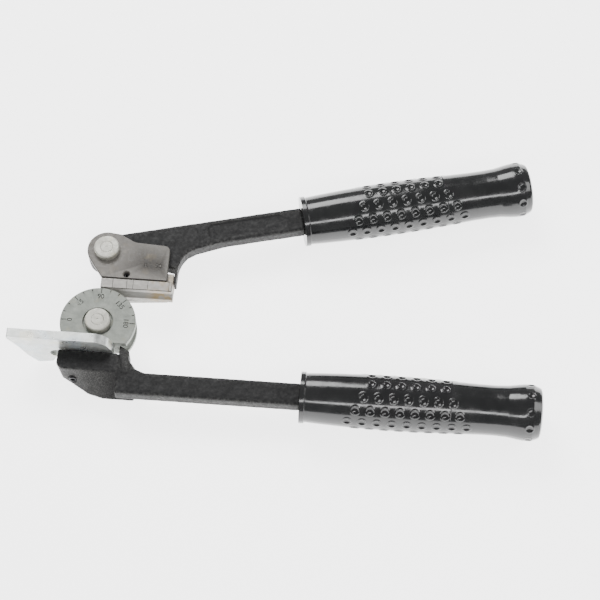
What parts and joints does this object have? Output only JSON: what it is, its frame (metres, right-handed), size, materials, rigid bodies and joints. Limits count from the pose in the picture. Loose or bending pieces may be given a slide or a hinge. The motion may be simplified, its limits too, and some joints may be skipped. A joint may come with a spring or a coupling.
{
  "type": "lever tube bender",
  "caption": "Hand tube bender with a grooved forming wheel, a sliding shoe on a pivoting link, a flip-up tube latch and two dimpled black handles.",
  "frame": {"origin": "on the bend axis, at the rear end of the main pin, in the plane the tool lies on", "axes": "+X along the form handle towards its grip, +Y towards the shoe, +Z out of the dial face"},
  "size_m": [0.2655, 0.1543, 0.029],
  "materials": {
    "black_forging": "satin, rough cast",
    "wheel_steel": "bead blasted, matte",
    "oxide_steel": "black oxide",
    "nickel_pin": "nickel plated, satin",
    "washer_steel": "ground",
    "grip_plastic": "glossy",
    "gunmetal": "worn, ground",
    "bronze": "sintered",
    "zinc_plate": "bright zinc plated"
  },
  "bodies": {
    "form_handle_body": {"form_handle": "black_forging", "forming_wheel": "wheel_steel", "wheel_screws": "oxide_steel", "main_pin": "nickel_pin", "main_collar": "oxide_steel", "thrust_washer": "washer_steel", "latch_pin": "oxide_steel", "form_grip": "grip_plastic"},
    "shoe_link": {"link_plate": "gunmetal", "slide_shoe": "gunmetal", "shoe_screws": "oxide_steel", "set_screw": "oxide_steel", "main_bush": "bronze", "handle_pin": "nickel_pin", "handle_collar": "oxide_steel", "handle_spacer": "washer_steel"},
    "shoe_handle_body": {"shoe_handle": "black_forging", "handle_bush": "bronze", "shoe_grip": "grip_plastic"},
    "latch_body": {"latch": "zinc_plate"}
  },
  "joints": [
    {"name": "bend_pivot", "type": "hinge", "parent": "form_handle_body", "child": "shoe_link", "pos_m": [0, 0, 0.014], "axis": [0, 0, 1], "range_deg": [-24, 90]},
    {"name": "shoe_handle_swing", "type": "hinge", "parent": "shoe_link", "child": "shoe_handle_body", "pos_m": [0, 0.041, 0.014], "axis": [0, 0, 1], "range_deg": [0, 100]},
    {"name": "latch_pivot", "type": "hinge", "parent": "form_handle_body", "child": "latch_body", "pos_m": [-0.0095, -0.01375, 0.0123], "axis": [0, 1, 0], "range_deg": [0, 80]}
  ]
}
